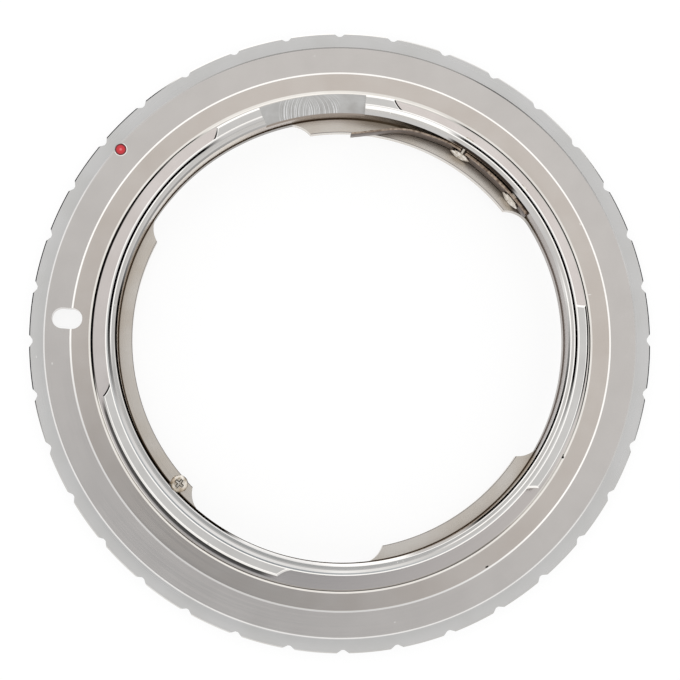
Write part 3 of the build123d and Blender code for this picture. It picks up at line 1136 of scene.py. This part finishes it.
# %% Finishes of the ring
FINISHES = {
    # Satin band for the fingers: an even soft grey with no mirror image
    "grip": plating("satin plated grip", "#CFCECD", "#CAC9C7", 0.3, pitch=0.14, height=0.0004),
    # Satin flange face: it blurs the tent into one calm light grey
    "face": plating("satin plated flange", "#D2CDC9", "#CDC8C4", 0.21, pitch=0.14, height=0.0002),
    # Camera seat, turned finer than the flange: a sharper and warmer grey
    "seat": plating("fine turned seat", "#D3CBC4", "#CDC4BC", 0.15, pitch=0.1, height=0.0002),
    # Groove floor: coarser rings that break its mirror image into streaks, with painted shade in places
    "floor": plating(
        "turned groove", "#E6DEDA", "#DCD3CE", 0.15, pitch=0.12, height=0.0015, stains_and_shade=GROOVE_PAINTED_SHADE
    ),
    # Bayonet wall, turned fine: nearly a mirror
    "wall": plating("bright turned wall", "#ECEAE7", "#E4E2DF", 0.04, pitch=0.2, height=0.0003),
    # Lug faces: frosted and pale
    "lug": plating("blasted lug faces", "#DAD8D5", "#D0CECB", 0.32, pitch=0.12, height=0.0015),
    # Lip: a soft mirror with fine rings
    "lip": plating("turned lip", "#D7D4D0", "#CFCCC8", 0.16, pitch=0.12, height=0.001),
    # Narrow ledge outside the lip: bright and sharp
    "ledge": plating("bright turned ledge", "#ECEAE7", "#E4E2DF", 0.08, pitch=0.2, height=0.0003),
    # Flat across the top lug: light and dark arcs of the end mill
    "flat": plating(
        "milled flat", "#C8C7C5", "#B6B4B1", 0.3, pitch=0.2, height=0.0008, patch=1.5, marks=mill_marks
    ),
    # Bore: dull plate under a brown film
    "bore": plating("brown filmed bore", "#DAD2C9", "#CBBDAA", 0.24, pitch=0.2, height=0.001, stains_and_shade=BORE_STAINS),
    # Lens tabs: rubbed plate with painted shade in the corners and under the strips
    "tab": plating("lens tabs", "#D8D2CB", "#CEC5BA", 0.26, pitch=0.2, height=0.001, stains_and_shade=TAB_STAINS_AND_SHADE),
    # Cut chamfers: thin mirror lines, white or black by what they face, darker on some sides as painted
    # shade
    "cut": plating(
        "bright cut chamfer", "#ECEAE7", "#E6E3DF", 0.04, pitch=0.2, height=0.0003, stains_and_shade=CUT_PAINTED_SHADE
    ),
    # Sloping side of the groove: a mirror too, black with painted shade at the left
    "side": plating(
        "side of the groove", "#ECEAE7", "#E6E3DF", 0.04, pitch=0.2, height=0.0003, stains_and_shade=SIDE_PAINTED_SHADE
    ),
    # Step down to the grip band: a thin line, greyer in places, with painted shade at the top
    "line": plating(
        "step of the grip band", "#D6D4D2", "#D0CECC", 0.08, pitch=0.2, height=0.0003, stains_and_shade=LINE_TONE_AND_SHADE
    ),
    # Dirt that fills a deep nick: dull and nearly black
    "pit": plating("dirt in a pit", "#3A3632", "#26231F", 0.6, pitch=0.2, height=0.001),
}
print("finishes", list(FINISHES))

# %% [markdown]
# ## Which face has which finish
# The ring is one mesh with many finishes. Faces could be picked by hand, but the cuts have left
# thousands of them. Each finish has its own place, so a face is sorted by its radius, its height and
# its slope, and the first test that fits decides.

# %% Sort the faces of the ring
# A pit reaches a little past its cutter's half lengths and depth
PIT_REACH = 1.1
PIT_BOTTOM = 1.2
# Upward part of the normal: less is an upright face, more is a level one
UPRIGHT = 0.2
LEVEL = 0.97
FACES_OUT = 0.5
NEAR = 0.02
# How far in from the seat the groove's side ends above and its floor begins, and how far in from the
# flange face's radius its step and its level part end
SIDE_TOP = 0.16
FLOOR_EDGE = 0.2
LINE_WIDTH = 0.2
FACE_END = 0.05


def in_pit(middle):
    """True for a place inside one of the deep nicks."""
    for angle, radius, height, around, along, depth in PITS:
        off = (middle - at(radius, angle, height)).to_2d().length
        if off < PIT_REACH * max(around, along) and -CLOSE > middle.z - height > -PIT_BOTTOM * depth:
            return True
    return False


def slope_finish(radius, height):
    """Finish of a sloping face: the groove's side, the step of the grip band or a cut chamfer."""
    if SEAT_IN - GROOVE_WIDTH < radius < SEAT_IN - SIDE_TOP and height < SEAT_Z:
        return "side"
    return "line" if FACE - LINE_WIDTH < radius < FACE else "cut"


def finish_of(face):
    """Which finish a face of the ring has, from its place and its slope."""
    middle = face.center / MM
    radius = middle.to_2d().length
    slope = abs(face.normal.z)
    if in_pit(middle):
        return "pit"
    if radius < BORE + NEAR and middle.z < FLAT_Z - CLOSE:
        return "tab" if middle.z < TAB_TOP + CLOSE else "bore"
    if UPRIGHT < slope < LEVEL:
        return slope_finish(radius, middle.z)
    if slope < UPRIGHT and radius < WALL + NEAR:
        outward = abs(face.normal.to_2d().dot(middle.to_2d())) / radius
        return "wall" if outward > FACES_OUT else "lug"
    if middle.z > LEDGE_Z - CLOSE:
        return "lip" if middle.z > LEDGE_Z + CLOSE else "ledge"
    if middle.z > LUG_LOW - CLOSE:
        return "flat" if abs(middle.z - FLAT_Z) < CLOSE else "lug"
    if radius < SEAT_IN - FLOOR_EDGE:
        return "floor"
    if radius < SEAT_OUT + SEAT_SLOPE / 2:
        return "seat"
    return "face" if radius < FACE - FACE_END else "grip"


ring.data.materials.clear()
for finish in FINISHES.values():
    ring.data.materials.append(finish)
names = list(FINISHES)
counts = dict.fromkeys(names, 0)
for face in ring.data.polygons:
    name = finish_of(face)
    face.material_index = names.index(name)
    counts[name] += 1
print("faces of each finish", counts)

# %% [markdown]
# ## Strips and screws
# The strips are spring bronze that has gone brown, with paler edges where the shears cut through the
# film; the upper edge is paler still as painted light, and the faces darker as painted shade. The
# screws are nickel plated steel, worn in patches, with painted shade on the steep sides of the cross.
# The plating function serves them too, with finer patches, because these are metals with a thin worn layer.

# %% Finishes of strips and screws
# Browned bronze: dark, warm and blotchy, darker on the faces partly as painted shade
bronze = plating("browned and shaded spring strip", "#6A584E", "#43362F", 0.4, pitch=0.3, height=0.004, patch=0.5)
# Upper edge: lighter bare metal in small breaks where cut, and lighter again as painted light because it
# faces up
bare_and_lit_edge = plating("bare cut and lit strip edge", "#B9A999", "#6F5F54", 0.35, pitch=0.3, height=0.004, patch=0.35)
# Nickel plate on steel: bright and warm, with dull worn spots
screw_steel = plating("nickel plated screw", "#EAE4DB", "#A69A89", 0.22, pitch=0.1, height=0.001, patch=0.4)
# Painted shade on the steep sides of the cross: dark and dull, so the cross reads from a step away
recess = plating("shaded sides of the cross", "#3E332A", "#2A221B", 0.5, pitch=0.1, height=0.001, patch=0.6)
EDGE_UP = 0.5
CROSS_STEEP = 0.6
CROSS_REACH = 0.64


def dress(piece, finish, second=None, wanted=None):
    """Gives a piece its finish, and a second one to the faces that pass a test."""
    piece.data.materials.clear()
    piece.data.materials.append(finish)
    if second:
        piece.data.materials.append(second)
        for face in piece.data.polygons:
            face.material_index = int(wanted(face))


# Only the edge that faces up gets the lighter finish: partly bare metal, partly painted light
def on_upward_edge(face):
    """True for the upper edge of a strip."""
    return face.normal.z > EDGE_UP


def in_cross(face):
    """True for the sides of the stop screw's cross."""
    off = (face.center / MM - at(STOP_CENTRE, STOP_ANGLE)).to_2d().length
    on_head = off < STOP_HEAD * CROSS_REACH and face.center.z > TAB_TOP * MM
    return on_head and abs(face.normal.z) < CROSS_STEEP


dress(keeper, bronze, bare_and_lit_edge, on_upward_edge)
dress(leaf, bronze, bare_and_lit_edge, on_upward_edge)
dress(strip_screws, screw_steel)
dress(stop, screw_steel, recess, in_cross)
print("dressed", [piece.name for piece in (keeper, leaf, strip_screws, stop)])

# %% [markdown]
# ## Red enamel
# Enamel is coloured glass or lacquer, poured into the pocket and left to level. Painted shade makes
# the dot almost black round its rim, where it slopes down into the pocket, and a painted highlight
# makes it palest at its top. A single red would look like plastic, so the colour runs from the middle
# of the dot to its edge.

# %% Finish of the dot
# The pale middle tone is a painted highlight, and the dark outer tone is painted shade
ENAMEL_LIT_AND_SHADED_TONES = [(0.1, "#EE7A80"), (0.3, "#D41E2C"), (0.66, "#CE1E2B"), (0.86, "#620911")]
# Gloss enamel: a red drop with a clear skin, dark round its rim as painted shade, pale in its middle as a
# painted highlight
enamel = new_material("gloss red enamel")
tree = enamel.node_tree
point = add(tree, "ShaderNodeTexCoord")["Object"]
dot_middle = at(DOT_CENTRE, DOT_ANGLE) * MM
off_dot = add(tree, "ShaderNodeVectorMath", {0: point, 1: dot_middle}, operation="SUBTRACT")[0]
level = add(tree, "ShaderNodeVectorMath", {0: off_dot, 1: (1, 1, 0)}, operation="MULTIPLY")[0]
off = add(tree, "ShaderNodeVectorMath", {0: level}, operation="LENGTH")["Value"]
share = add(tree, "ShaderNodeMath", {0: off, 1: 1 / (DOT_RADIUS * MM)}, operation="MULTIPLY")[0]
red = add(tree, "ShaderNodeValToRGB", {0: share}, [(spot, linear(code)) for spot, code in ENAMEL_LIT_AND_SHADED_TONES])[0]
surface = {"Base Color": red, "Roughness": 0.3, "Coat Weight": 0.3}
gloss = add(tree, "ShaderNodeBsdfPrincipled", surface)[0]
add(tree, "ShaderNodeOutputMaterial", {"Surface": gloss})
dress(dot, enamel)
print("dressed", dot.name)

# %% [markdown]
# ## Studio
# The ring stands on white paper under a light tent. Lamps would leave small bright spots on the
# metal, and a tent gives it something even to mirror. Flat faces that look up mirror the darker hole
# that the camera looks through, slopes mirror the bright walls, and the tent is open low down at both
# sides, which gives the chamfers there their black lines. The tent is the world, so nothing stands in
# the way of other views.

# %% Paper floor
FLOOR_SIZE = 4
# White paper: the eye and the metal see it as white, while the object's shadow still falls on it
PAPER = "#F2F2F2"
GLOW = 1.06
GLOW_SHARE = 0.8
bpy.ops.object.select_all(action="DESELECT")
bpy.ops.mesh.primitive_plane_add(size=FLOOR_SIZE)
floor = bpy.context.object
floor.name = "floor"
white = new_material("white paper")
tree = white.node_tree
path = add(tree, "ShaderNodeLightPath")
direct = {0: path["Is Camera Ray"], 1: path["Is Glossy Ray"]}
seen = add(tree, "ShaderNodeMath", direct, operation="MAXIMUM")[0]
seen = add(tree, "ShaderNodeMath", {0: seen, 1: path["Is Transmission Ray"]}, operation="MAXIMUM")[0]
share = add(tree, "ShaderNodeMath", {0: seen, 1: GLOW_SHARE}, operation="MULTIPLY")[0]
paper = add(tree, "ShaderNodeBsdfDiffuse", {"Color": linear(PAPER)})[0]
glow = add(tree, "ShaderNodeEmission", {"Strength": GLOW})[0]
mixed = add(tree, "ShaderNodeMixShader", {0: share, 1: paper, 2: glow})[0]
add(tree, "ShaderNodeOutputMaterial", {"Surface": mixed})
floor.data.materials.append(white)
print("floor", FLOOR_SIZE, "m")


# %% Light tent
def grey(level):
    """A neutral light of one level."""
    return (level, level, level, 1.0)


# Middle of the camera's hole, and the light by how far a direction leans away from it
HOLE = (0.004, -0.007, 0)
ROOF = [
    (0.015, (0.27, 0.295, 0.322, 1.0)),
    (0.05, (0.46, 0.49, 0.517, 1.0)),
    (0.1, (0.72, 0.728, 0.738, 1.0)),
    (0.17, grey(0.88)),
    (0.5, grey(0.95)),
    (0.8, grey(0.85)),
    (0.85, grey(1.25)),
    (0.95, grey(1.25)),
]
# Light low down, from the front through the dark openings to the back
SKIRT = [(0.35, grey(0.65)), (0.46, grey(0.0)), (0.927, grey(0.0)), (0.947, grey(1.4))]
SKIRT_TOP = (0.15, 0.22)

world = bpy.data.worlds.new("light tent")
scene.world = world
world.use_nodes = True
tree = world.node_tree
tree.nodes.clear()
toward = add(tree, "ShaderNodeTexCoord")["Generated"]
parts = add(tree, "ShaderNodeSeparateXYZ", {0: toward})
off_hole = add(tree, "ShaderNodeVectorMath", {0: toward, 1: HOLE}, operation="SUBTRACT")[0]
level_off = add(tree, "ShaderNodeVectorMath", {0: off_hole, 1: (1, 1, 0)}, operation="MULTIPLY")[0]
tilt = add(tree, "ShaderNodeVectorMath", {0: level_off}, operation="LENGTH")["Value"]
roof = add(tree, "ShaderNodeValToRGB", {0: tilt}, ROOF)[0]
front_to_back = {"Value": parts["Y"], "From Min": -1.0, "From Max": 1.0}
depth = add(tree, "ShaderNodeMapRange", front_to_back)[0]
skirt = add(tree, "ShaderNodeValToRGB", {0: depth}, SKIRT)[0]
limits = {"Value": parts["Z"], "From Min": SKIRT_TOP[0], "From Max": SKIRT_TOP[1]}
lift = add(tree, "ShaderNodeMapRange", limits, interpolation_type="SMOOTHSTEP")[0]
light = add(tree, "ShaderNodeMix", {0: lift, 6: skirt, 7: roof}, data_type="RGBA")[2]
background = add(tree, "ShaderNodeBackground", {0: light, 1: 1.0})[0]
add(tree, "ShaderNodeOutputWorld", {0: background})
print("tent", len(tree.nodes), "nodes")
